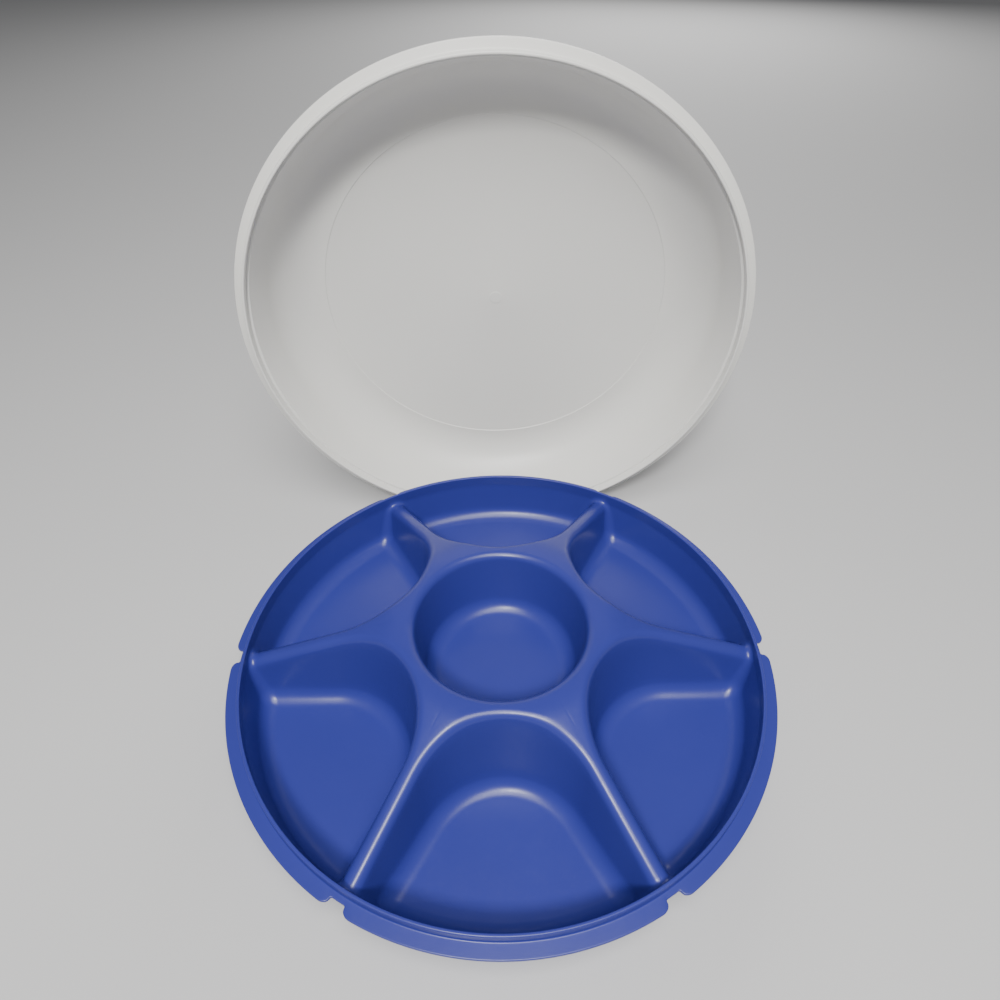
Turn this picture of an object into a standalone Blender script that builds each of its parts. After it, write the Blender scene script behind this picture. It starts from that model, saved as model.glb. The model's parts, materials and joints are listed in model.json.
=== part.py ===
"""Chip and dip server: a six-pocket moulded tray with a central dip bowl, and its deep round cover.

The tray stands on the table and the cover stands on its edge behind it, open side towards the tray.
Metres, +Z up. The origin is on the table, under the middle of the whole arrangement.
"""
import math

import bmesh
import bpy
from mathutils import Matrix, Vector

# ---- Tray: driving dimensions -------------------------------------------------------------------
POCKETS = 6
RIM_RADIUS = 0.1550          # outside of the upright rim
WALL = 0.0018                # wall of the whole moulding
POCKET_DEPTH = 0.0355        # rim top down to the pocket floors
FOOT_HEIGHT = 0.0025         # beads under the pockets that the tray stands on
FOOT_WIDTH = 0.003
FOOT_INSET = 0.002           # from the flat of a pocket floor to its bead
FLANGE_DROP = 0.0064         # rim top down to the flange
FLANGE_WIDTH = 0.0075        # flange beyond the rim
FLANGE_THICKNESS = 0.002
NOTCH_LEDGE = 0.0031         # flange left beyond the rim inside a notch
NOTCH_WIDTH = 0.0125
NOTCH_CORNER = 0.0028
HUB_RISE = 0.0253            # rim top up to the flat hub
HUB_LAND = 0.0094            # flat between the bowl and a pocket
BOWL_RADIUS = 0.0507
BOWL_DEPTH = 0.0440          # below the hub
RIB_WIDTH = 0.0093           # between two pockets, at the crest
RIB_END_DROP = 0.0060        # rim top down to a rib's crest where it meets the rim
RIB_END_FILLET = 0.0070
EDGE_ROUND = 0.0042          # rounded top edges of pockets and bowl
POCKET_CORNER = 0.0047       # pocket corners beside the rim, at the top
FLOOR_CORNER = 0.0093        # the same corners at the floor
FLOOR_FILLET = 0.0090
RIM_DRAFT = math.radians(10.5)
NOSE_DRAFT = math.radians(8.0)
RIB_DRAFT = math.radians(7.25)
BOWL_DRAFT = math.radians(8.0)

# ---- Cover: driving dimensions ------------------------------------------------------------------
COVER_WALL = 0.0018
COVER_CLEARANCE = 0.0006     # cover's skirt round the tray's rim
COVER_SEAT_GAP = 0.0008      # skirt's end above the tray's flange when the cover is on
COVER_LEDGE = 0.0017         # inner ledge that lies on the tray's rim
COVER_HEADROOM = 0.0209      # hub up to the inside of the cover
COVER_SLOPE = math.radians(15.0)
COVER_SHOULDER = 0.0330      # inside radius of the shoulder
COVER_FLANGE_EDGE = 0.0016   # thickness of the grip flange at its edge
COVER_FLANGE_ROOT = 0.0028   # thickness of the grip flange at the skirt
COVER_RING = 0.0006          # low stacking ring round the cover's flat top
RING_SECTION = ((2.2, 0), (1.7, 1), (0.7, 1), (0.2, 0))   # walls inward from the flat's edge, share of its height

# ---- Resolution ---------------------------------------------------------------------------------
NOSE_STEPS, SIDE_STEPS, CORNER_STEPS, RIM_STEPS = 5, 2, 3, 4
HUB_STEPS = 3                # share of the nose steps that faces the hub's ring
ROUND_STEPS, FILLET_STEPS = 2, 2
COVER_STEPS = 60

# ---- Derived sizes ------------------------------------------------------------------------------
HALF_SECTOR = math.pi / POCKETS
CREST_FLAT = 0.06            # share of a rib's or the hub ring's width that stays flat at least
CREST_ROUND = min(EDGE_ROUND, (1 - CREST_FLAT) / 2 * min(RIB_WIDTH, HUB_LAND))
RIM_HEIGHT = FOOT_HEIGHT + WALL + POCKET_DEPTH
FLOOR_HEIGHT = FOOT_HEIGHT + WALL
HUB_HEIGHT = RIM_HEIGHT + HUB_RISE
RIM_INSIDE = RIM_RADIUS - WALL
FLANGE_RADIUS = RIM_RADIUS + FLANGE_WIDTH
FLANGE_TOP = RIM_HEIGHT - FLANGE_DROP
FLANGE_BOTTOM = FLANGE_TOP - FLANGE_THICKNESS
HUB_RING = BOWL_RADIUS + HUB_LAND / 2
POCKET_START = BOWL_RADIUS + HUB_LAND
SLOPE_START = POCKET_START + CREST_ROUND
SLOPE_END = RIM_INSIDE - RIB_END_FILLET
RIB_END_HEIGHT = RIM_HEIGHT - RIB_END_DROP
RIM_INSET = (FLANGE_BOTTOM - FLOOR_HEIGHT) * math.tan(RIM_DRAFT)
NOSE_INSET = (HUB_HEIGHT - FLOOR_HEIGHT) * math.tan(NOSE_DRAFT)
RIB_INSET = ((HUB_HEIGHT + RIB_END_HEIGHT) / 2 - FLOOR_HEIGHT) * math.tan(RIB_DRAFT)
BOWL_FLOOR_HEIGHT = HUB_HEIGHT - BOWL_DEPTH

SKIRT_INSIDE = RIM_RADIUS + COVER_CLEARANCE
SKIRT_OUTSIDE = SKIRT_INSIDE + COVER_WALL
SKIRT_LENGTH = FLANGE_DROP - COVER_SEAT_GAP
COVER_DEPTH = HUB_RISE + COVER_HEADROOM
COVER_PLANE = RIM_RADIUS     # the standing cover's grip flange, above the back of the tray's rim
COVER_BACK = COVER_PLANE + COVER_DEPTH + COVER_WALL + COVER_RING
TRAY_Y = (FLANGE_RADIUS - COVER_BACK) / 2


def plastic(name, colour, roughness):
    """A Principled material for a moulded piece."""
    material = bpy.data.materials.new(name)
    material.use_nodes = True
    shader = material.node_tree.nodes["Principled BSDF"]
    shader.inputs["Base Color"].default_value = (*colour, 1.0)
    shader.inputs["Roughness"].default_value = roughness
    shader.inputs["Metallic"].default_value = 0.0
    return material


def arc(centre, radius, start, end, steps):
    """Points on an arc in the plane, both ends included."""
    turns = (start + (end - start) * i / steps for i in range(steps + 1))
    return [Vector((centre[0] + radius * math.cos(t), centre[1] + radius * math.sin(t))) for t in turns]


def pocket_outline(nose, side, rim, corner):
    """Half the outline of a pocket that lies along +X, with its outward directions.

    It runs from the round nose on the pocket's middle line, along the straight side beside the rib
    and round the corner, to the rim on the middle line again.
    """
    rib = Vector((math.cos(HALF_SECTOR), math.sin(HALF_SECTOR)))
    across = Vector((-rib.y, rib.x))
    nose_centre = (nose - side) / (1 - math.sin(HALF_SECTOR))
    side_angle = math.pi / 2 + HALF_SECTOR
    points = arc((nose_centre, 0), nose_centre - nose, math.pi, side_angle, NOSE_STEPS)
    directions = arc((0, 0), 1, math.pi, side_angle, NOSE_STEPS)
    along = math.sqrt((rim - corner) ** 2 - (side + corner) ** 2)
    corner_centre = rib * along - across * (side + corner)
    corner_start = corner_centre + across * corner
    for i in range(1, SIDE_STEPS):
        points.append(points[NOSE_STEPS].lerp(corner_start, i / SIDE_STEPS))
        directions.append(across)
    rim_angle = math.atan2(corner_centre.y, corner_centre.x)
    points += arc(corner_centre, corner, side_angle, rim_angle, CORNER_STEPS)
    directions += arc((0, 0), 1, side_angle, rim_angle, CORNER_STEPS)
    points += arc((0, 0), rim, rim_angle, 0, RIM_STEPS)[1:]
    directions += arc((0, 0), 1, rim_angle, 0, RIM_STEPS)[1:]
    return points, directions


def crest_height(radius):
    """Height of the hub and of a rib's crest at a distance from the tray's axis."""
    slope = min(max((radius - SLOPE_START) / (SLOPE_END - SLOPE_START), 0.0), 1.0)
    return HUB_HEIGHT + (RIB_END_HEIGHT - HUB_HEIGHT) * slope


def round_corner(start, corner, end, steps):
    """Points on the round curve from start to end that the two straight lines through corner guide."""
    spread = (start - corner).angle(end - corner, math.pi)
    weight = max(math.sin(spread / 2), 0.3)
    points = []
    for i in range(steps + 1):
        t = i / steps
        shares = ((1 - t) ** 2, 2 * weight * t * (1 - t), t * t)
        total = sum(shares)
        points.append((start * shares[0] + corner * shares[1] + end * shares[2]) / total)
    return points


def fillet(above, corner, inward, radius, steps):
    """Round curve from a wall that comes down from above to a flat floor that runs inward."""
    wall = (above - corner).normalized()
    reach = radius / math.tan(wall.angle(inward) / 2)
    return round_corner(corner + wall * reach, corner, corner + inward * reach, steps)


def raised(point, height):
    return Vector((point.x, point.y, height))


def pocket_columns():
    """For each point of half a pocket's outline, the points from the tray's crest down to the floor."""
    tops, outward = pocket_outline(POCKET_START, RIB_WIDTH / 2, RIM_INSIDE, POCKET_CORNER)
    floors, _ = pocket_outline(POCKET_START + NOSE_INSET, RIB_WIDTH / 2 + RIB_INSET,
                               RIM_INSIDE - RIM_INSET, FLOOR_CORNER)
    corner_start = NOSE_STEPS + SIDE_STEPS
    columns = []
    for i, (top, floor, out) in enumerate(zip(tops, floors, outward)):
        turn = min(max((i - corner_start) / CORNER_STEPS, 0.0), 1.0) * math.pi / 2
        crest = crest_height(top.length)
        crest += (RIM_HEIGHT - crest) * (1 - math.cos(turn))
        direction = raised(out, 0)
        foot = raised(floor, FLOOR_HEIGHT)
        upper = raised(top, crest) + direction * CREST_ROUND * math.cos(turn)
        edge = raised(top, crest - (FLANGE_DROP + FLANGE_THICKNESS) / 2 * math.sin(turn))
        drop = CREST_ROUND + (edge.z - FLANGE_BOTTOM - CREST_ROUND) * math.sin(turn)
        lower = edge + ((foot - edge).normalized() * (1 - math.sin(turn))
                        - Vector((0, 0, math.sin(turn)))) * drop
        column = round_corner(upper, edge, lower, ROUND_STEPS)
        columns.append(column + fillet(lower, foot, -direction, FLOOR_FILLET, FILLET_STEPS))
    return columns


def spine_points():
    """Points that the crest's edge joins: on the hub's ring, along the rib's crest and up to the rim."""
    ring = [raised(p, HUB_HEIGHT) for p in arc((0, 0), HUB_RING, 0, HALF_SECTOR, HUB_STEPS)]
    tops, _ = pocket_outline(POCKET_START, RIB_WIDTH / 2, RIM_INSIDE, POCKET_CORNER)
    along = [tops[i].length for i in range(NOSE_STEPS, NOSE_STEPS + SIDE_STEPS + 1)]
    nose_steps = NOSE_STEPS - HUB_STEPS
    reach = [HUB_RING + (along[0] - HUB_RING) * i / nose_steps for i in range(1, nose_steps)]
    spine = [(r, crest_height(r)) for r in reach + along]
    for i in range(1, CORNER_STEPS + 1):
        turn = i / CORNER_STEPS * math.pi / 2
        radius = along[-1] + (RIM_INSIDE - along[-1]) * math.sin(turn)
        crest = crest_height(radius)
        spine.append((radius, crest + (RIM_HEIGHT - crest) * (1 - math.cos(turn))))
    rib = Vector((math.cos(HALF_SECTOR), math.sin(HALF_SECTOR)))
    return ring + [raised(rib * r, height) for r, height in spine]


def bowl_rows():
    """Rows of points from the hub's ring down the bowl's wall to its floor."""
    foot_radius = BOWL_RADIUS - BOWL_DEPTH * math.tan(BOWL_DRAFT)
    edge = Vector((BOWL_RADIUS, 0, HUB_HEIGHT))
    foot = Vector((foot_radius, 0, BOWL_FLOOR_HEIGHT))
    lower = edge + (foot - edge).normalized() * CREST_ROUND
    profile = [Vector((HUB_RING, 0, HUB_HEIGHT))]
    profile += round_corner(edge + Vector((CREST_ROUND, 0, 0)), edge, lower, ROUND_STEPS)
    profile += fillet(lower, foot, Vector((-1, 0, 0)), FLOOR_FILLET, FILLET_STEPS)
    turns = [HALF_SECTOR * i / HUB_STEPS for i in range(HUB_STEPS + 1)]
    return [[Matrix.Rotation(t, 3, "Z") @ p for t in turns] for p in profile]


def loft(bm, rows, closed=False):
    """Quads between rows of points that have the same count."""
    made = [[bm.verts.new(p) for p in row] for row in rows]
    pairs = list(zip(made, made[1:] + made[:1] if closed else made[1:]))
    for first, second in pairs:
        for i in range(len(first) - 1):
            bm.faces.new((first[i], first[i + 1], second[i + 1], second[i]))
    return made


def sheet_of_tray():
    """The tray's upper skin: one half sector, mirrored and turned round the axis."""
    bm = bmesh.new()
    columns = pocket_columns()
    rows = [list(row) for row in zip(*columns)]
    made = loft(bm, rows)
    bm.faces.new(made[-1])
    spine = spine_points()
    loft(bm, [spine, rows[0][:len(spine)]])
    bowl = loft(bm, bowl_rows())
    bm.faces.new(bowl[-1] + [bm.verts.new((0, 0, BOWL_FLOOR_HEIGHT))])
    half = bm.verts[:] + bm.edges[:] + bm.faces[:]
    mirrored = bmesh.ops.duplicate(bm, geom=half)["geom"]
    bmesh.ops.scale(bm, vec=(1, -1, 1), verts=[v for v in mirrored if isinstance(v, bmesh.types.BMVert)])
    bmesh.ops.rotate(bm, matrix=Matrix.Rotation(HALF_SECTOR, 3, "Z"), verts=bm.verts)
    sector = bm.verts[:] + bm.edges[:] + bm.faces[:]
    for i in range(1, POCKETS):
        copy = bmesh.ops.duplicate(bm, geom=sector)["geom"]
        bmesh.ops.rotate(bm, matrix=Matrix.Rotation(2 * HALF_SECTOR * i, 3, "Z"),
                         verts=[v for v in copy if isinstance(v, bmesh.types.BMVert)])
    bmesh.ops.remove_doubles(bm, verts=bm.verts, dist=0.00002)
    bmesh.ops.recalc_face_normals(bm, faces=bm.faces)
    if max(bm.faces, key=lambda f: f.calc_center_median().z).normal.z < 0:
        bmesh.ops.reverse_faces(bm, faces=bm.faces)
    return bm


def flange_outline():
    """Outer edge of the flange, with a round-cornered notch at each rib."""
    outline = []
    notch_radius = RIM_RADIUS + NOTCH_LEDGE
    floor_half = (NOTCH_WIDTH / 2 - NOTCH_CORNER) / notch_radius
    edge_half = (NOTCH_WIDTH / 2 + NOTCH_CORNER) / FLANGE_RADIUS
    for i in range(POCKETS):
        middle = 2 * HALF_SECTOR * i
        end = middle + 2 * HALF_SECTOR - edge_half
        notch = [(notch_radius, -floor_half), (notch_radius, floor_half),
                 (notch_radius + NOTCH_CORNER / 2, NOTCH_WIDTH / 2 / notch_radius),
                 (FLANGE_RADIUS - NOTCH_CORNER / 2, (NOTCH_WIDTH / 2 + NOTCH_CORNER / 4) / FLANGE_RADIUS)]
        mirrored = [(r, -a) for r, a in reversed(notch[2:])]
        outline += [Vector((r * math.cos(middle + a), r * math.sin(middle + a))) for r, a in mirrored + notch]
        outline += arc((0, 0), FLANGE_RADIUS, middle + edge_half, end, 4 * RIM_STEPS)
    return outline


def ring_solid(name, inner, outer, low, high):
    """A closed solid between an inner and an outer outline with the same number of points."""
    bm = bmesh.new()
    rows = [[raised(p, z) for p in outline + outline[:1]]
            for outline, z in ((inner, high), (outer, high), (outer, low), (inner, low))]
    loft(bm, rows, closed=True)
    bmesh.ops.remove_doubles(bm, verts=bm.verts, dist=0.00001)
    bmesh.ops.recalc_face_normals(bm, faces=bm.faces)
    return object_of(bm, name)


def object_of(bm, name):
    mesh = bpy.data.meshes.new(name)
    bm.to_mesh(mesh)
    bm.free()
    return bpy.data.objects.new(name, mesh)


def flange_ring():
    outer = flange_outline()
    inner = [p.normalized() * (RIM_RADIUS - WALL / 2) for p in outer]
    return ring_solid("flange_ring", inner, outer, FLANGE_BOTTOM, FLANGE_TOP)


def foot_beads():
    """Low beads that follow the pocket floors underneath, joined to the tray's skin."""
    reach = FLOOR_FILLET + FOOT_INSET
    bm = bmesh.new()
    for i in range(POCKETS):
        loops = []
        for inset in (reach, reach + FOOT_WIDTH):
            half, _ = pocket_outline(POCKET_START + NOSE_INSET + inset, RIB_WIDTH / 2 + RIB_INSET + inset,
                                     RIM_INSIDE - RIM_INSET - inset, FLOOR_CORNER)
            loops.append(half + [Vector((p.x, -p.y)) for p in reversed(half[1:-1])] + half[:1])
        outer, inner = loops
        rows = [[raised(p, z) for p in loop]
                for loop, z in ((inner, 0), (inner, FLOOR_HEIGHT - WALL / 2),
                                (outer, FLOOR_HEIGHT - WALL / 2), (outer, 0))]
        made = loft(bm, rows, closed=True)
        bmesh.ops.rotate(bm, matrix=Matrix.Rotation(HALF_SECTOR * (2 * i + 1), 3, "Z"),
                         verts=[v for row in made for v in row])
    bmesh.ops.remove_doubles(bm, verts=bm.verts, dist=0.00001)
    bmesh.ops.recalc_face_normals(bm, faces=bm.faces)
    return object_of(bm, "foot_beads")


def cover_profile():
    """Section of the cover mouth down, as (radius, height above its flange's edge), round the wall."""
    slope = Vector((-math.sin(COVER_SLOPE), math.cos(COVER_SLOPE)))
    seat = SKIRT_INSIDE - COVER_LEDGE
    inner_corner = Vector((seat - COVER_DEPTH * math.tan(COVER_SLOPE), COVER_DEPTH))
    inner = fillet(Vector((seat, 0)), inner_corner, Vector((-1, 0)), COVER_SHOULDER, 6)
    shift = Vector((math.cos(COVER_SLOPE), math.sin(COVER_SLOPE))) * COVER_WALL
    root = Vector((seat, 0)) + shift
    outer_corner = inner_corner + shift + slope * (COVER_WALL - shift.y) / slope.y
    outer = fillet(root, outer_corner, Vector((-1, 0)), COVER_SHOULDER + COVER_WALL, 6)
    ring = inner[-1].x
    top = COVER_DEPTH + COVER_WALL
    flange_low = -COVER_FLANGE_ROOT + COVER_FLANGE_EDGE / 2
    down = [Vector((0, top))]
    down += [Vector((ring - COVER_WALL * inset, top + COVER_RING * rise)) for inset, rise in RING_SECTION]
    down += outer[::-1]
    down += [root + slope * COVER_WALL, Vector((FLANGE_RADIUS - COVER_FLANGE_EDGE / 2, COVER_FLANGE_EDGE / 2)),
             Vector((FLANGE_RADIUS, 0)), Vector((FLANGE_RADIUS - COVER_FLANGE_EDGE / 2, -COVER_FLANGE_EDGE / 2)),
             Vector((SKIRT_OUTSIDE, flange_low)), Vector((SKIRT_OUTSIDE - COVER_WALL / 6, -SKIRT_LENGTH)),
             Vector((SKIRT_INSIDE, -SKIRT_LENGTH)), Vector((SKIRT_INSIDE, 0)), Vector((seat, 0))]
    return down + inner + [Vector((0, COVER_DEPTH))]


def make_tray(collection, helpers):
    tray = object_of(sheet_of_tray(), "serving_tray")
    tray.data.materials.append(plastic("blue_plastic", (0.105, 0.165, 0.55), 0.35))
    wall = tray.modifiers.new("wall", "SOLIDIFY")
    wall.thickness = WALL
    wall.offset = -1
    for solid in (flange_ring(), foot_beads()):
        solid.location.y = TRAY_Y
        solid.hide_render = True
        solid.display_type = "WIRE"
        helpers.objects.link(solid)
        union = tray.modifiers.new(solid.name, "BOOLEAN")
        union.operation = "UNION"
        union.object = solid
    tray.location.y = TRAY_Y
    collection.objects.link(tray)
    smooth(tray)


def make_cover(collection):
    mesh = bpy.data.meshes.new("cover")
    profile = [(p.x, 0, p.y) for p in cover_profile()]
    mesh.from_pydata(profile, [(i, i + 1) for i in range(len(profile) - 1)], [])
    cover = bpy.data.objects.new("cover", mesh)
    mesh.materials.append(plastic("white_plastic", (0.66, 0.66, 0.62), 0.4))
    turn = cover.modifiers.new("turn", "SCREW")
    turn.steps = turn.render_steps = COVER_STEPS
    turn.use_merge_vertices = True
    turn.merge_threshold = 0.0001
    cover.rotation_euler.x = -math.pi / 2
    cover.location = (0, TRAY_Y + COVER_PLANE, FLANGE_RADIUS)
    collection.objects.link(cover)
    smooth(cover)


def smooth(piece):
    piece.data.shade_smooth()
    piece.data.set_sharp_from_angle(angle=math.radians(40))


def main():
    for old in list(bpy.data.objects):
        bpy.data.objects.remove(old, do_unlink=True)
    collection = bpy.data.collections.new("chip_and_dip_server")
    helpers = bpy.data.collections.new("helpers")
    for made in (collection, helpers):
        bpy.context.scene.collection.children.link(made)
    make_tray(collection, helpers)
    make_cover(collection)


main()
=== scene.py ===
# %% [markdown]
# # Chip and dip server
# A party server in two mouldings: a blue tray with six wedge pockets round a raised bowl for the dip,
# and a milky white cover that is as wide as the tray. The cover is off and stands on its edge behind
# the tray. This notebook gives both pieces their fine surface and their plastic, in the places and at
# the sizes that the frame already has.

# %% Load the frame
import json
import math

import bmesh
import bpy
import numpy as np
from mathutils import Matrix, Vector

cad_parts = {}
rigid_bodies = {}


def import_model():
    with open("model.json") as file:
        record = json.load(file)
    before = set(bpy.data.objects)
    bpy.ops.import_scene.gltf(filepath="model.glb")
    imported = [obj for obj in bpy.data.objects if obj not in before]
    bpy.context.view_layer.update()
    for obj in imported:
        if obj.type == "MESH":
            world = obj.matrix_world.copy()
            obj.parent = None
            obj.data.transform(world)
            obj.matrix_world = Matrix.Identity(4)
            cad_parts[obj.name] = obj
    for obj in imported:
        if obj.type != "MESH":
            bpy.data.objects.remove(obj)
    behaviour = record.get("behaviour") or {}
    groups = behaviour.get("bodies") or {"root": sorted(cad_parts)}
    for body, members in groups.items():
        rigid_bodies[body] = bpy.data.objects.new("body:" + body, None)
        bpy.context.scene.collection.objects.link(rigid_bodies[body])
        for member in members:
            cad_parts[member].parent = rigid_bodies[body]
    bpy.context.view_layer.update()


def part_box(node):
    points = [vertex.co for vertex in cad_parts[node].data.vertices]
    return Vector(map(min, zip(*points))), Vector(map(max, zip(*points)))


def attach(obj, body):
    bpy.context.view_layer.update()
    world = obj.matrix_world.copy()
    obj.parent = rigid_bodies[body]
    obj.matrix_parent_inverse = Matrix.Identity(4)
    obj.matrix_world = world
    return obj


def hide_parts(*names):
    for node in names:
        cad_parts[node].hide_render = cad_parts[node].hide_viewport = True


for leftover in list(bpy.data.objects):
    bpy.data.objects.remove(leftover)
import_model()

# %% [markdown]
# Where things are comes from the frame: the tray's box gives its upright axis and its widest radius,
# and the cover's box gives the plane of its open end. The small sizes inside the mouldings, such as
# walls and roundings, are the maker's choices and are named here once.

# %% Sizes that the frame gives
tray_low, tray_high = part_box("serving_tray")
cover_low, cover_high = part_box("cover")
TRAY_Y = (tray_low.y + tray_high.y) / 2
FLANGE_RADIUS = (tray_high.y - tray_low.y) / 2
HUB_HEIGHT = tray_high.z
COVER_AXIS_HEIGHT = (cover_low.z + cover_high.z) / 2
print(f"tray axis at y {1000 * TRAY_Y:.2f} mm, radius {1000 * FLANGE_RADIUS:.1f} mm")

# %% Sizes of the tray's moulding
POCKETS = 6
HALF_SECTOR = math.pi / POCKETS
WALL = 0.0018
RIM_RADIUS = FLANGE_RADIUS - 0.0075
RIM_INSIDE = RIM_RADIUS - WALL
RIM_HEIGHT = HUB_HEIGHT - 0.0253
FLOOR_HEIGHT = RIM_HEIGHT - 0.0355
FLANGE_TOP = RIM_HEIGHT - 0.0064
FLANGE_BOTTOM = FLANGE_TOP - 0.0020
BOWL_RADIUS = 0.0507
BOWL_FLOOR = HUB_HEIGHT - 0.0440
BOWL_DRAFT = math.radians(8.0)
POCKET_START = BOWL_RADIUS + 0.0094
RIB_HALF_WIDTH = 0.00465
RIB_END_HEIGHT = RIM_HEIGHT - 0.0060
EDGE_ROUND = 0.0042
FLOOR_FILLET = 0.0090
HUB_RING = (BOWL_RADIUS + POCKET_START) / 2
print(f"pockets {1000 * (RIM_HEIGHT - FLOOR_HEIGHT):.1f} mm deep, rim {1000 * RIM_RADIUS:.1f} mm")

# %% [markdown]
# The camera stands in front of the tray and looks down at it, close enough for the near side to look
# clearly larger than the far side. It is placed by plain measures: how far in front of the tray's
# axis it is, how high above the rim, and how far it leans forward.

# %% Camera
CAMERA_REACH, CAMERA_SIDE, CAMERA_RISE = 0.24866, -0.00316, 0.35970
CAMERA_LEAN, CAMERA_PAN, CAMERA_TILT = 0.762706, 0.012146, -0.005164
camera = bpy.data.objects.new("camera", bpy.data.cameras.new("camera"))
camera.data.sensor_width = 36.0
camera.data.lens = 25.516
camera.matrix_world = (Matrix.Translation((CAMERA_SIDE, TRAY_Y - CAMERA_REACH, RIM_HEIGHT + CAMERA_RISE))
                       @ Matrix.Rotation(-CAMERA_PAN, 4, "Z")
                       @ Matrix.Rotation(math.pi / 2 - CAMERA_LEAN, 4, "X")
                       @ Matrix.Rotation(CAMERA_TILT, 4, "Z"))
bpy.context.scene.collection.objects.link(camera)
bpy.context.scene.camera = camera
print("camera looks down by", round(math.degrees(CAMERA_LEAN), 1), "degrees")

# %% [markdown]
# ## One formula for the tray's surface
# An injection moulding is a set of plain walls whose meetings are all rounded. It could be modelled
# edge by edge with bevels, but here ribs, rim and floor run into each other at sloping, vanishing
# corners where a bevel fails. So the space in and over the tray is described as a distance: negative
# in the air, zero on the plastic's upper skin and positive inside the plastic. Two spaces that meet
# are joined with a rounded corner of a stated radius. A mesh is then laid roughly in place and every
# point is pulled onto the zero of the formula, and the underside onto the value of one wall.

# %% Rounded joins
def joined(first, second, radius):
    """The two spaces together, with the plastic's outward corner between them rounded."""
    near = np.hypot(np.maximum(radius - first, 0), np.maximum(radius - second, 0))
    return np.maximum(radius, np.minimum(first, second)) - near


def shared(first, second, radius):
    """The space that both hold, with the plastic's inward corner between them filled round."""
    near = np.hypot(np.maximum(radius + first, 0), np.maximum(radius + second, 0))
    return np.minimum(-radius, np.maximum(first, second)) + near


# %% [markdown]
# The hub is flat, and from it the ribs run down in straight lines to just below the rim. The bend
# between the two is eased over a few millimetres, as the mould's tool leaves it.

# %% Height of the hub and of the ribs' crests
SLOPE_START, SLOPE_END = 0.0643, 0.1462
SLOPE_EASE = 0.006
CREST_SLOPE = (HUB_HEIGHT - RIB_END_HEIGHT) / (SLOPE_END - SLOPE_START)


def crest_height(radius):
    """Height of the hub or of a rib's crest at a distance from the tray's axis."""
    run = np.asarray(radius, float) - SLOPE_START
    eased = np.where(run < SLOPE_EASE, (run + SLOPE_EASE) ** 2 / (4 * SLOPE_EASE), run)
    return HUB_HEIGHT - CREST_SLOPE * np.where(run < -SLOPE_EASE, 0.0, eased)


print("rib falls by", round(math.degrees(math.atan(CREST_SLOPE)), 1), "degrees")

# %% [markdown]
# A pocket is a wedge between two ribs. Its sides lean back a little, so that the moulding can leave
# its tool, and they run into each other in a wide round nose beside the bowl. `depth_share` is 0 at
# the crest and 1 at the pocket's floor.

# %% The tray as a distance
RIB_SPREAD = 0.00574          # how far a pocket's side leans in by its floor
NOSE_NARROWING = 0.0029       # how much smaller the nose's radius is there
NOSE_RADIUS_TOP = (POCKET_START * math.sin(HALF_SECTOR) - RIB_HALF_WIDTH) / (1 - math.sin(HALF_SECTOR))
NOSE_RADIUS_FLOOR = NOSE_RADIUS_TOP - NOSE_NARROWING
RIM_DRAFT = math.tan(math.radians(10.5))
RIM_FILLET_TOP = 0.0042


def tray_distance(points):
    """Distance of points from the tray's upper skin, measured from the tray's axis on the table."""
    x, y, z = points.T
    radius = np.hypot(x, y)
    bearing = np.mod(np.arctan2(y, x), 2 * HALF_SECTOR) - HALF_SECTOR
    along, across = radius * np.cos(bearing), np.abs(radius * np.sin(bearing))
    crest = crest_height(radius)
    depth_share = np.clip((crest - z) / (crest - FLOOR_HEIGHT), 0, 1.2)
    side = RIB_HALF_WIDTH + RIB_SPREAD * depth_share
    nose = NOSE_RADIUS_TOP + (NOSE_RADIUS_FLOOR - NOSE_RADIUS_TOP) * depth_share
    rib = side - along * math.sin(HALF_SECTOR) + across * math.cos(HALF_SECTOR)
    from_nose = along - (side + nose) / math.sin(HALF_SECTOR)
    in_nose = from_nose * math.cos(HALF_SECTOR) + across * math.sin(HALF_SECTOR) < 0
    wall = np.where(in_nose, np.hypot(from_nose, across) - nose, rib)
    pocket = shared(wall, FLOOR_HEIGHT - z, FLOOR_FILLET)
    slope = CREST_SLOPE * np.clip((radius - SLOPE_START) / (2 * SLOPE_EASE) + 0.5, 0, 1)
    over_crest = (crest - z) / np.sqrt(1 + slope ** 2)
    inside = joined(over_crest, pocket, EDGE_ROUND)
    drop = np.maximum(FLANGE_BOTTOM - z, 0)
    rim = radius - RIM_INSIDE + drop * RIM_DRAFT
    low_share = np.clip((RIB_END_HEIGHT - z) / (RIB_END_HEIGHT - FLOOR_HEIGHT), 0, 1)
    upper = shared(rim, inside, RIM_FILLET_TOP + (FLOOR_FILLET - RIM_FILLET_TOP) * low_share)
    bowl_wall = (radius - BOWL_RADIUS + (HUB_HEIGHT - z) * math.tan(BOWL_DRAFT)) * math.cos(BOWL_DRAFT)
    return joined(upper, shared(bowl_wall, BOWL_FLOOR - z, FLOOR_FILLET), EDGE_ROUND)


PULLS, PROBE, LEAST_SLOPE = 8, 1e-5, 0.05


def pull(verts, level):
    """Moves points straight onto the surface where the tray's distance has this value."""
    points = np.array([vert.co for vert in verts])
    for _ in range(PULLS):
        slopes = [(tray_distance(points + PROBE * unit) - tray_distance(points - PROBE * unit)) / (2 * PROBE)
                  for unit in np.eye(3)]
        slope = np.stack(slopes, 1)
        size = np.maximum((slope ** 2).sum(1), LEAST_SLOPE)
        points = points - slope * ((tray_distance(points) - level) / size)[:, None]
    for vert, point in zip(verts, points):
        vert.co = point
    return abs(tray_distance(points) - level).max()


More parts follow.
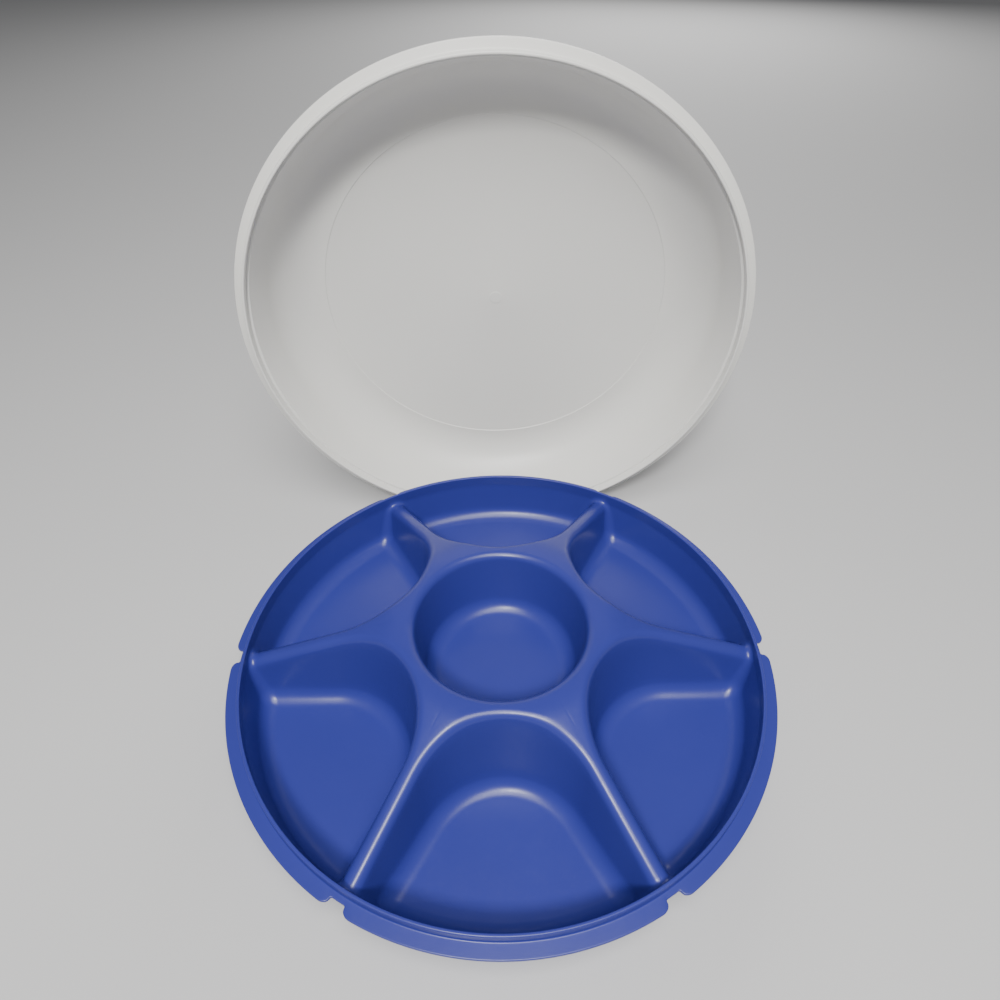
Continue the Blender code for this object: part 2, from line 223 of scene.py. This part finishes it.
# %% [markdown]
# The first mesh is half of one pocket's sector, because mirroring and turning it gives the rest. It
# starts as a plain grid. Its columns fan out along the pocket's edge: round the nose, along the rib,
# round the corner and along the rim. Its rows run from the crest of the hub and ribs, over the rounded
# edge, down the wall and through the fillet to the flat floor. The grid only has to be laid near the
# surface, since every point is pulled onto it afterwards.

# %% Outline of half a pocket
NOSE_STEPS, SIDE_STEPS, CORNER_STEPS, RIM_STEPS = 22, 16, 14, 18
HUB_STEPS = 15
COLUMNS = NOSE_STEPS + SIDE_STEPS + CORNER_STEPS + RIM_STEPS
RIB = Vector((math.cos(HALF_SECTOR), math.sin(HALF_SECTOR)))
ACROSS = Vector((-RIB.y, RIB.x))


def heading(angle):
    return Vector((math.cos(angle), math.sin(angle)))


def half_outline(nose, side, rim, corner):
    """Points along half a pocket that lies along +X, each with the direction out of the pocket."""
    nose_centre = Vector(((nose - side) / (1 - math.sin(HALF_SECTOR)), 0))
    side_angle = math.pi / 2 + HALF_SECTOR
    points = []
    for step in range(NOSE_STEPS + 1):
        out = heading(math.pi + (side_angle - math.pi) * step / NOSE_STEPS)
        points.append((nose_centre + out * (nose_centre.x - nose), out))
    reach = math.sqrt((rim - corner) ** 2 - (side + corner) ** 2)
    corner_centre = RIB * reach - ACROSS * (side + corner)
    side_start, side_end = points[-1][0], corner_centre + ACROSS * corner
    for step in range(1, SIDE_STEPS):
        points.append((side_start.lerp(side_end, step / SIDE_STEPS), ACROSS))
    rim_angle = math.atan2(corner_centre.y, corner_centre.x)
    for step in range(CORNER_STEPS + 1):
        out = heading(side_angle + (rim_angle - side_angle) * step / CORNER_STEPS)
        points.append((corner_centre + out * corner, out))
    for step in range(1, RIM_STEPS + 1):
        out = heading(rim_angle * (1 - step / RIM_STEPS))
        points.append((out * rim, out))
    return points


RIM_INSET = (FLANGE_BOTTOM - FLOOR_HEIGHT) * RIM_DRAFT
NOSE_RUN = 0.00854            # how far the nose leans back by the pocket's floor
EDGE_CORNER, FOOT_CORNER = 0.0047, 0.0093
edge_outline = half_outline(POCKET_START, RIB_HALF_WIDTH, RIM_INSIDE, EDGE_CORNER)
foot_outline = half_outline(POCKET_START + NOSE_RUN, RIB_HALF_WIDTH + RIB_SPREAD, RIM_INSIDE - RIM_INSET,
                            FOOT_CORNER)
print(len(edge_outline), "points from the nose to the middle of the rim")

# %% [markdown]
# Each column needs a start on the crest: first round the hub's ring, then out along the middle of the
# rib, and at the rib's end up to the rim. `climb` is 0 on the rib and 1 where the column has become a
# column of the rim's wall.

# %% Rounded corners of a line
def bend(start, corner, end, steps):
    """Points of a soft bend from start to end that is guided by the corner between them."""
    shares = [step / steps for step in range(1, steps + 1)]
    return [start.lerp(corner, share).lerp(corner.lerp(end, share), share) for share in shares]


# %% Places of one column of the grid
CREST_ROWS, ROUND_ROWS, WALL_ROWS, FILLET_ROWS = 5, 10, 8, 11
ROWS = CREST_ROWS + ROUND_ROWS + WALL_ROWS + FILLET_ROWS + 1
CORNER_START = NOSE_STEPS + SIDE_STEPS
CREST_COLUMNS = CORNER_START + CORNER_STEPS


def climb_of(column):
    return min(max((column - CORNER_START) / CORNER_STEPS, 0), 1)


def spine_polar(column):
    """Radius and bearing of the column's start on the crest."""
    if column <= HUB_STEPS:
        return HUB_RING, HALF_SECTOR * column / HUB_STEPS
    outside = edge_outline[min(column, CORNER_START)][0].length
    if column < NOSE_STEPS:
        share = (column - HUB_STEPS) / (NOSE_STEPS - HUB_STEPS)
        outside = HUB_RING + (edge_outline[NOSE_STEPS][0].length - HUB_RING) * share
    climb = climb_of(column)
    return outside + (RIM_INSIDE - outside) * math.sin(climb * math.pi / 2), HALF_SECTOR


def lifted(radius, climb):
    """Height of the crest, raised to the rim as a rib's column becomes the rim's."""
    crest = float(crest_height(radius))
    return crest + (RIM_HEIGHT - crest) * (1 - math.cos(climb * math.pi / 2))


def column_places(column):
    """Rough places of the column's points, from the crest to the pocket's floor."""
    climb = climb_of(column)
    (edge, out), (foot, _) = edge_outline[column], foot_outline[column]
    fade = math.cos(climb * math.pi / 2)
    shoulder = edge + out * EDGE_ROUND * fade
    radius, bearing = spine_polar(column)
    radius_end, bearing_end = min(shoulder.length, RIM_INSIDE), math.atan2(shoulder.y, shoulder.x)
    places = []
    for row in range(CREST_ROWS + 1):
        share = row / CREST_ROWS
        at = radius + (radius_end - radius) * share
        flat = heading(bearing + (bearing_end - bearing) * share) * at
        places.append(Vector((flat.x, flat.y, lifted(at, climb))))
    crest = lifted(edge.length, climb)
    wall_top = Vector((edge.x, edge.y, crest - EDGE_ROUND * fade - (crest - FLANGE_BOTTOM) * (1 - fade)))
    corner = Vector((edge.x, edge.y, (crest + wall_top.z) / 2 if climb == 1 else crest))
    places += bend(places[-1], corner, wall_top, ROUND_ROWS)
    base = Vector((foot.x, foot.y, FLOOR_HEIGHT))
    wall_end = base + (wall_top - base).normalized() * FLOOR_FILLET * 0.9
    for row in range(1, WALL_ROWS + 1):
        places.append(wall_top.lerp(wall_end, row / WALL_ROWS))
    inwards = -Vector((out.x, out.y, 0)) * FLOOR_FILLET
    places += bend(wall_end, base, base + inwards * 0.93, FILLET_ROWS)
    return places + [base + inwards * 1.015]


# %% [markdown]
# One grid is laid for the crest and one for the edge, wall and floor. Only the columns round the nose
# and along the rib have a crest, so the two have different lengths and meet along one row.

# %% Half a sector, pulled into shape
def lay_grid(mesh, columns, rows, place):
    """Adds a grid whose points are moved to place(column, row), and returns its points."""
    verts = bmesh.ops.create_grid(mesh, x_segments=columns, y_segments=rows, size=1)["verts"]
    for vert in verts:
        vert.co = place(round((vert.co.x + 1) / 2 * columns), round((vert.co.y + 1) / 2 * rows))
    return verts


places = [column_places(column) for column in range(COLUMNS + 1)]
tray = bmesh.new()
lay_grid(tray, CREST_COLUMNS, CREST_ROWS, lambda column, row: places[column][row])
lay_grid(tray, COLUMNS, ROWS - CREST_ROWS, lambda column, row: places[column][CREST_ROWS + row])
bmesh.ops.rotate(tray, matrix=Matrix.Rotation(-HALF_SECTOR, 3, "Z"), verts=tray.verts)
print("worst miss after the pull, mm:", round(1000 * pull(tray.verts[:], 0), 4))

# %% [markdown]
# The half is mirrored at its rib and turned five times round the axis, which gives the whole upper skin
# but for the flat floors and the bowl. The floors are filled as they are. The bowl is round, so it is a
# spin: a line down its wall, pulled onto the same formula and swept round.

# %% Six sectors, floors and the bowl
MERGE = 0.000002


def all_round(mesh):
    """Mirrors half a sector at its rib and repeats the sector for every pocket."""
    bmesh.ops.mirror(mesh, geom=mesh.verts[:] + mesh.edges[:] + mesh.faces[:], axis="Y", merge_dist=MERGE)
    turns = POCKETS - 1
    bmesh.ops.spin(mesh, geom=mesh.verts[:] + mesh.edges[:] + mesh.faces[:], cent=(0, 0, 0), axis=(0, 0, 1),
                   angle=2 * HALF_SECTOR * turns, steps=turns, use_duplicate=True)
    bmesh.ops.remove_doubles(mesh, verts=mesh.verts, dist=MERGE)


def draw_line(mesh, points):
    """A line of edges, drawn by extruding its last point again and again."""
    verts = bmesh.ops.create_vert(mesh, co=points[0])["vert"]
    for point in points[1:]:
        verts += bmesh.ops.extrude_vert_indiv(mesh, verts=[verts[-1]])["verts"]
        verts[-1].co = point
    return verts


all_round(tray)
rings = [edge for edge in tray.edges if edge.is_boundary and edge.verts[0].co.z < FLOOR_HEIGHT + MERGE]
floors = bmesh.ops.holes_fill(tray, edges=rings)["faces"]
BOWL_FOOT = BOWL_RADIUS - (HUB_HEIGHT - BOWL_FLOOR) * math.tan(BOWL_DRAFT)
hub_edge, bowl_edge = Vector((HUB_RING, 0, HUB_HEIGHT)), Vector((BOWL_RADIUS, 0, HUB_HEIGHT))
bowl_foot = Vector((BOWL_FOOT, 0, BOWL_FLOOR))
wall_top, wall_foot = bowl_edge.lerp(bowl_foot, 0.1), bowl_edge.lerp(bowl_foot, 0.8)
bowl_line = [hub_edge] + bend(hub_edge, bowl_edge, wall_top, 12)
bowl_line += [wall_top.lerp(wall_foot, step / 8) for step in range(1, 9)]
bowl_line += bend(wall_foot, bowl_foot, Vector((BOWL_FOOT - FLOOR_FILLET, 0, BOWL_FLOOR)), 12)
bowl_line += [Vector((share * BOWL_FOOT, 0, BOWL_FLOOR)) for share in (0.74, 0.4, 0)]
bowl_verts = draw_line(tray, bowl_line)
pull(bowl_verts, 0)
bowl_edges = [edge for edge in tray.edges if edge.is_wire]
bmesh.ops.spin(tray, geom=bowl_verts + bowl_edges, cent=(0, 0, 0), axis=(0, 0, 1), angle=2 * math.pi,
               steps=2 * POCKETS * HUB_STEPS, use_merge=True)
bmesh.ops.remove_doubles(tray, verts=tray.verts, dist=MERGE)
print(len(floors), "floors;", len(tray.faces), "faces;",
      sum(edge.is_boundary for edge in tray.edges), "open edges, all on the rim")

# %% [markdown]
# The moulding has the same wall nearly everywhere. Solidify makes the underside, and its points are
# pulled onto the formula's value of one wall, which keeps the wall even also inside tight roundings.
# Last, a small bevel rounds the rim's lip.

# %% Wall and lip
LIP_ROUND = 0.0006
bmesh.ops.recalc_face_normals(tray, faces=tray.faces)
if max(tray.faces, key=lambda face: face.calc_center_median().z).normal.z < 0:
    bmesh.ops.reverse_faces(tray, faces=tray.faces)
upper_skin = set(tray.verts)
bmesh.ops.solidify(tray, geom=tray.faces[:], thickness=WALL)
underside = [vert for vert in tray.verts if vert not in upper_skin]
for vert in underside:
    if abs(vert.co.z - RIM_HEIGHT) < LIP_ROUND and vert.co.xy.length > RIM_RADIUS - LIP_ROUND:
        vert.co.z = RIM_HEIGHT
print("worst miss of the underside, mm:", round(1000 * pull(underside, WALL), 4))
lip = [edge for edge in tray.edges if edge.calc_face_angle(0) > 1
       and all(abs(vert.co.z - RIM_HEIGHT) < MERGE for vert in edge.verts)]
bmesh.ops.bevel(tray, geom=lip, offset=LIP_ROUND, offset_type="OFFSET", affect="EDGES", segments=4,
                profile=0.5, material=-1)
print("lowest underside at", round(1000 * min(vert.co.z for vert in tray.verts), 3), "mm")

# %% [markdown]
# Outside, a flange runs round the rim like a narrow shelf. It stiffens the edge and carries the cover's
# skirt, and it has a round-cornered notch at each rib, where a thumb can reach the cover. It is made
# as a closed ring that reaches into the wall, and joined to the tray with an exact Boolean. Its outline
# is worked out as if the rim were unrolled: how far out, and how far along the edge.

# %% Outline of the flange
NOTCH_LEDGE = RIM_RADIUS + 0.0031
NOTCH_HALF, NOTCH_CORNER, NOTCH_ROOT = 0.0044, 0.0050, 0.0010


def flange_outline():
    """Points (out, along) from the middle of a notch to half way to the next, each with its outward side."""
    points = [((NOTCH_LEDGE, share * (NOTCH_HALF - NOTCH_ROOT)), (1, 0)) for share in (0, 0.5)]
    for step in range(5):
        side = heading(-math.pi / 2 * step / 4)
        root = (NOTCH_LEDGE + NOTCH_ROOT * (1 - side.x), NOTCH_HALF - NOTCH_ROOT * (1 + side.y))
        points.append((root, side))
    depth = FLANGE_RADIUS - NOTCH_LEDGE - NOTCH_ROOT
    for step in range(1, 11):
        turn = heading(math.pi / 2 * step / 10)
        corner = (FLANGE_RADIUS - depth * (1 - turn.y), NOTCH_HALF + NOTCH_CORNER * (1 - turn.x))
        points.append((corner, Vector((turn.y / depth, -turn.x / NOTCH_CORNER)).normalized()))
    start, end = NOTCH_HALF + NOTCH_CORNER, FLANGE_RADIUS * HALF_SECTOR
    return points + [((FLANGE_RADIUS, start + (end - start) * step / 24), (1, 0)) for step in range(1, 25)]

# %% The flange as a ring
RING_INSIDE, RING_OUTSIDE = RIM_RADIUS - 0.0009, RIM_RADIUS + 0.00003
RING_END = RIM_HEIGHT - 0.0012
FLANGE_ROOT, FLANGE_EDGE = 0.0008, 0.0006


def flange_section(edge, side):
    """Points (out, along, height) of the flange's section, from the wall round the edge and back."""
    def on_wall(out, height):
        return Vector((out, edge[1], height))

    def on_edge(inset, height):
        return Vector((edge[0] - side[0] * inset, edge[1] - side[1] * inset, height))

    points = [on_wall(RING_INSIDE, RING_END), on_wall(RING_OUTSIDE, RING_END),
              on_wall(RING_OUTSIDE, FLANGE_TOP + FLANGE_ROOT)]
    points += bend(points[-1], on_wall(RING_OUTSIDE, FLANGE_TOP),
                   on_wall(RING_OUTSIDE + FLANGE_ROOT, FLANGE_TOP), 4)
    points.append(on_edge(FLANGE_EDGE, FLANGE_TOP))
    points += bend(points[-1], on_edge(0, FLANGE_TOP), on_edge(0, FLANGE_TOP - FLANGE_EDGE), 4)
    points.append(on_edge(0, FLANGE_BOTTOM + FLANGE_EDGE))
    points += bend(points[-1], on_edge(0, FLANGE_BOTTOM), on_edge(FLANGE_EDGE, FLANGE_BOTTOM), 4)
    return points + [on_wall(RING_INSIDE, FLANGE_BOTTOM), points[0]]


def on_tray(point):
    """Place of a point of the unrolled edge on the round tray."""
    flat = heading(point.y / FLANGE_RADIUS) * point.x
    return Vector((flat.x, flat.y, point.z))


sections = [flange_section(edge, side) for edge, side in flange_outline()]
trim = bmesh.new()
lay_grid(trim, len(sections) - 1, len(sections[0]) - 1, lambda column, row: on_tray(sections[column][row]))
print(len(sections), "sections from a notch to half way to the next")

# %% [markdown]
# Underneath, the tray stands on a low bead round each pocket's floor, which keeps the flat floors off
# the table. It is a closed ring too, between two outlines of the pocket, and it is joined in the same
# step.

# %% Foot beads
BEAD_INSET, BEAD_WIDTH, BEAD_ROUND = 0.0110, 0.0030, 0.0006
BEAD_TOP = FLOOR_HEIGHT - WALL + 0.0006


def bead_outline(inset, corner):
    return half_outline(POCKET_START + NOSE_RUN + inset, RIB_HALF_WIDTH + RIB_SPREAD + inset,
                        RIM_INSIDE - RIM_INSET - inset, corner)


def bead_section(outside, inside):
    """Points of the bead's section between a point of its outer line and one of its inner line."""
    def at(across, height):
        place = outside.lerp(inside, across / BEAD_WIDTH)
        return Vector((place.x, place.y, height))

    points = [at(0, BEAD_TOP), at(0, BEAD_ROUND)]
    points += bend(points[-1], at(0, 0), at(BEAD_ROUND, 0), 4)
    points.append(at(BEAD_WIDTH - BEAD_ROUND, 0))
    points += bend(points[-1], at(BEAD_WIDTH, 0), at(BEAD_WIDTH, BEAD_ROUND), 4)
    return points + [at(BEAD_WIDTH, BEAD_TOP), points[0]]


beads = [bead_section(outer[0], inner[0]) for outer, inner in
         zip(bead_outline(BEAD_INSET, 0.0060), bead_outline(BEAD_INSET + BEAD_WIDTH, 0.0030))]
bead_verts = lay_grid(trim, COLUMNS, len(beads[0]) - 1, lambda column, row: beads[column][row])
bmesh.ops.rotate(trim, matrix=Matrix.Rotation(-HALF_SECTOR, 3, "Z"), verts=bead_verts)
all_round(trim)
bmesh.ops.recalc_face_normals(trim, faces=trim.faces)
print("flange and beads:", len(trim.faces), "faces, closed:", all(edge.is_manifold for edge in trim.edges))

# %% One tray of them all
def piece_of(mesh, name):
    """Makes an object of a bmesh and links it to the scene."""
    data = bpy.data.meshes.new(name)
    mesh.to_mesh(data)
    piece = bpy.data.objects.new(name, data)
    bpy.context.scene.collection.objects.link(piece)
    return piece


shell, fittings = piece_of(tray, "shell"), piece_of(trim, "fittings")
union = shell.modifiers.new("union", "BOOLEAN")
union.operation, union.solver, union.object = "UNION", "EXACT", fittings
moulding = bpy.data.meshes.new_from_object(shell.evaluated_get(bpy.context.evaluated_depsgraph_get()))
for part in (shell, fittings):
    bpy.data.objects.remove(part)
tray = bmesh.new()
tray.from_mesh(moulding)
bmesh.ops.dissolve_degenerate(tray, edges=tray.edges, dist=MERGE)
bmesh.ops.translate(tray, vec=(0, TRAY_Y, 0), verts=tray.verts)
tray_moulding = piece_of(tray, "tray_moulding")
print(len(tray.faces), "faces, closed:", all(edge.is_manifold for edge in tray.edges))

# %% [markdown]
# ## The cover
# The cover is one round moulding, so its section is drawn once, from the middle of its top, outside
# down to the grip flange, round the skirt that goes over the tray's rim, and back inside. Every corner
# of the section gets a true circular rounding. Inside, the flat top is half a millimetre deeper than
# the shoulder, which shows as a fine line, and the gate has left a plain round mark in the middle.
# The section is spun round the cover's axis, which lies level here, because the cover stands on its
# edge with its open side to the front.

# %% A line with rounded corners
def rounded_line(corners):
    """Points of a line through corners (out, back, radius, steps), each rounded with its radius."""
    points = [Vector(corner[:2]) for corner in corners]
    line = [points[0]]
    for before, corner, after, (_, _, radius, steps) in zip(points, points[1:], points[2:], corners[1:-1]):
        inwards, onwards = (before - corner).normalized(), (after - corner).normalized()
        half = inwards.angle(onwards) / 2
        centre = corner + (inwards + onwards).normalized() * radius / math.sin(half)
        start = corner + inwards * radius / math.tan(half) - centre
        end = corner + onwards * radius / math.tan(half) - centre
        line += [centre + start.slerp(end, step / steps) * radius for step in range(steps + 1)]
    return line + [points[-1]]


# %% Section of the cover
SKIRT_INSIDE = RIM_RADIUS + 0.0006
SKIRT_OUTSIDE = SKIRT_INSIDE + WALL
SKIRT_LENGTH = 0.0056
SKIRT_TAPER = 0.0002
SEAT = SKIRT_INSIDE - 0.0017
STACKING_RING = 0.0006
COVER_DEPTH = cover_high.y - cover_low.y - SKIRT_LENGTH - WALL - STACKING_RING
COVER_SLOPE = math.radians(15.0)
SHOULDER = 0.0330
inner_corner = SEAT - COVER_DEPTH * math.tan(COVER_SLOPE)
outer_corner = inner_corner + WALL / math.cos(COVER_SLOPE) - WALL * math.tan(COVER_SLOPE)
flat_edge = inner_corner - SHOULDER * math.tan(math.pi / 4 - COVER_SLOPE / 2)
outside = COVER_DEPTH + WALL
back = outside + STACKING_RING
hollow, mark = COVER_DEPTH + 0.0005, COVER_DEPTH + 0.0003
section = rounded_line([
    (0, outside, 0, 0),
    (flat_edge - 0.0040, outside, 0.0005, 3), (flat_edge - 0.0031, back, 0.0005, 3),
    (flat_edge - 0.0013, back, 0.0005, 3), (flat_edge - 0.0004, outside, 0.0005, 3),
    (outer_corner, outside, SHOULDER + WALL, 24), (SEAT + 0.00127, 0.0022, 0.0010, 5),
    (FLANGE_RADIUS, 0.0007, 0.0006, 5), (FLANGE_RADIUS, -0.0008, 0.0006, 5),
    (SKIRT_OUTSIDE, -0.0020, 0.0008, 4), (SKIRT_OUTSIDE - SKIRT_TAPER, -SKIRT_LENGTH, 0.0007, 5),
    (SKIRT_INSIDE, -SKIRT_LENGTH, 0.0006, 5), (SKIRT_INSIDE, 0, 0.0003, 3), (SEAT, 0, 0.0006, 4),
    (inner_corner, COVER_DEPTH, SHOULDER, 24),
    (flat_edge - 0.0004, COVER_DEPTH, 0.0002, 2), (flat_edge - 0.0009, hollow, 0.0002, 2),
    (0.0045, hollow, 0.0002, 2), (0.0040, mark, 0.0002, 2), (0, mark, 0, 0)])
print(len(section), "points in the cover's section")

# %% The cover, spun
cover = bmesh.new()
section_verts = draw_line(cover, [Vector((point.x, point.y, 0)) for point in section])
bmesh.ops.spin(cover, geom=section_verts + cover.edges[:], cent=(0, 0, 0), axis=(0, 1, 0),
               angle=2 * math.pi, steps=240, use_merge=True)
bmesh.ops.remove_doubles(cover, verts=cover.verts, dist=MERGE)
bmesh.ops.recalc_face_normals(cover, faces=cover.faces)
bmesh.ops.translate(cover, vec=(0, cover_low.y + SKIRT_LENGTH, COVER_AXIS_HEIGHT), verts=cover.verts)
cover_moulding = piece_of(cover, "cover_moulding")
print(len(cover.faces), "faces, closed:", all(edge.is_manifold for edge in cover.edges))

# %% [markdown]
# Smooth shading alone would also smear light over the real edges, such as the bottom edge of the flange,
# so edges that turn by more than 40 degrees stay sharp.

# %% Smooth shading
SHARP_FROM = math.radians(40)
for piece in (tray_moulding, cover_moulding):
    piece.data.shade_smooth()
    piece.data.set_sharp_from_angle(angle=SHARP_FROM)
    print(piece.name, [round(1000 * size, 1) for size in piece.dimensions])

# %% [markdown]
# ## Plastics
# Both materials are built from nodes. A small class lets a node's output be used in sums like a number,
# so that the maths of a finish reads as one line.

# %% Node helpers
class Value:
    """A node's output that can be used in sums like a number."""

    def __init__(self, finish, socket):
        self.finish, self.socket = finish, socket

    def maths(self, operation, first, second):
        return self.finish.node("ShaderNodeMath", {"operation": operation}, {0: first, 1: second})

    def __add__(self, other):
        return self.maths("ADD", self, other)

    def __mul__(self, other):
        return self.maths("MULTIPLY", self, other)

    __radd__, __rmul__ = __add__, __mul__


class Finish:
    """A material and its nodes."""

    def __init__(self, name):
        self.material = bpy.data.materials.new(name)
        self.material.use_nodes = True
        self.tree = self.material.node_tree
        self.surface = self.tree.nodes["Principled BSDF"]

    def node(self, kind, settings, inputs, output=0):
        """Adds a node: first its settings, with a ramp's stops, then its inputs' values or links."""
        made = self.tree.nodes.new(kind)
        for name, value in settings.items():
            if name == "stops":
                for element, (place, shade) in zip(made.color_ramp.elements, value):
                    element.position, element.color = place, (shade, shade, shade, 1)
            else:
                setattr(made, name, value)
        self.fill(made, inputs)
        return Value(self, made.outputs[output])

    def fill(self, node, inputs):
        for name, value in inputs.items():
            if isinstance(value, Value):
                self.tree.links.new(value.socket, node.inputs[name])
            else:
                node.inputs[name].default_value = value

    def place(self):
        """Object coordinates, in metres."""
        return self.node("ShaderNodeTexCoord", {}, {}, "Object")

    def noise(self, place, scale, detail=2.0, roughness=0.5):
        """Soft noise from 0 to 1, with scale waves to the metre."""
        inputs = {"Vector": place, "Scale": scale, "Detail": detail, "Roughness": roughness}
        return self.node("ShaderNodeTexNoise", {}, inputs, 0)

    def ramp(self, value, low, high):
        """0 below low and 1 above high."""
        stops = [(low, 0.0), (high, 1.0)]
        return self.node("ShaderNodeValToRGB", {"stops": stops}, {"Fac": value})

    def mixed(self, share, first, second):
        """A colour between two colours."""
        return self.node("ShaderNodeMix", {"data_type": "RGBA"}, {0: share, 6: first, 7: second}, 2)

    def bump(self, height, strength, distance):
        return self.node("ShaderNodeBump", {}, {"Strength": strength, "Distance": distance, "Height": height})


print("helpers for nodes are ready")

# %% [markdown]
# The tray is a solid blue plastic with a satin shine. Three things keep it from looking like paint:
# its colour drifts a little where the melt flowed, its shine is broken by fine scuffs where food and
# cloths rub, and its skin has the very fine grain of the mould.

# %% Blue plastic
blue = Finish("blue_moulded_plastic")
place = blue.place()
drift = blue.noise(place, 14.0, 3.0)
grain = blue.noise(place, 2600.0, 2.0)
smear = blue.noise(place, 75.0, 5.0, 0.6)
scuffed = blue.ramp(blue.noise(place, 420.0, 6.0, 0.7), 0.52, 0.72)
blue.fill(blue.surface, {
    "Base Color": blue.mixed(drift, (0.028, 0.034, 0.225, 1), (0.035, 0.042, 0.262, 1)),
    "Roughness": 0.25 + 0.10 * smear + 0.07 * scuffed,
    "Normal": blue.bump(grain * 0.5 + smear * 0.8, 0.10, 0.0003),
    "IOR": 1.49, "Specular IOR Level": 0.4})
tray_moulding.data.materials.clear()
tray_moulding.data.materials.append(blue.material)
print(len(blue.tree.nodes), "nodes")

# %% [markdown]
# The cover is a milky, uncoloured plastic. Light soaks into it a little, so it has a small subsurface
# share, and its skin is more matt than the tray's.

# %% White plastic
white = Finish("milky_moulded_plastic")
place = white.place()
cloud = white.noise(place, 9.0, 3.0)
grain = white.noise(place, 2200.0, 2.0)
smear = white.noise(place, 55.0, 5.0, 0.6)
white.fill(white.surface, {
    "Base Color": white.mixed(cloud, (0.710, 0.700, 0.660, 1), (0.760, 0.750, 0.708, 1)),
    "Roughness": 0.34 + 0.12 * smear,
    "Normal": white.bump(grain * 0.5 + smear * 0.8, 0.10, 0.0003),
    "IOR": 1.49, "Subsurface Weight": 0.15, "Subsurface Radius": (0.9, 0.9, 0.8),
    "Subsurface Scale": 0.003})
cover_moulding.data.materials.append(white.material)
print(len(white.tree.nodes), "nodes")

# %% [markdown]
# Each piece moves with its body of the frame and takes the place of its plain solid.

# %% Pieces and bodies
for piece, body, node, slot in ((tray_moulding, "tray", "serving_tray", "blue_plastic"),
                                (cover_moulding, "cover", "cover", "white_plastic")):
    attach(piece, body)
    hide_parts(node)
    print(piece.name, "rides on", body)

# %% [markdown]
# ## Studio
# A plain pale floor, one fairly small key light in front and above, which draws the thin bright lines
# on the crests, a large soft light above the tray's front, a weak low one behind the cover, and a pale
# surround.

# %% Floor
studio = bmesh.new()
bmesh.ops.create_grid(studio, x_segments=1, y_segments=1, size=4.0)
floor = piece_of(studio, "floor")
paper = Finish("pale_floor")
paper.fill(paper.surface, {"Base Color": (0.56, 0.555, 0.55, 1), "Roughness": 0.8})
floor.data.materials.append(paper.material)

# %% [markdown]
# The lights are squares, because a window or a soft box is one. The smaller a light is, the finer the
# lines that it draws on the crests.

# %% Lights
def area_light(name, size, power, place, target):
    """A square light at a place, turned to face a target."""
    lamp = bpy.data.lights.new(name, "AREA")
    lamp.size, lamp.energy = size, power
    holder = bpy.data.objects.new(name, lamp)
    turn = (Vector(target) - Vector(place)).to_track_quat("-Z", "Y")
    holder.matrix_world = Matrix.LocRotScale(Vector(place), turn, None)
    bpy.context.scene.collection.objects.link(holder)


area_light("key", 0.18, 13.0, (-0.14, -0.80, 1.10), (0, 0.03, 0.08))
area_light("soft", 0.8, 23.0, (0.05, -0.58, 1.45), (0, 0, 0.05))
area_light("back", 1.0, 22.0, (0.50, 2.20, 0.90), (0, 0, 0.15))
world = bpy.data.worlds.new("surround")
bpy.context.scene.world = world
world.use_nodes = True
world.node_tree.nodes["Background"].inputs["Color"].default_value = (0.86, 0.88, 0.92, 1)
world.node_tree.nodes["Background"].inputs["Strength"].default_value = 0.14
print("lights are set")
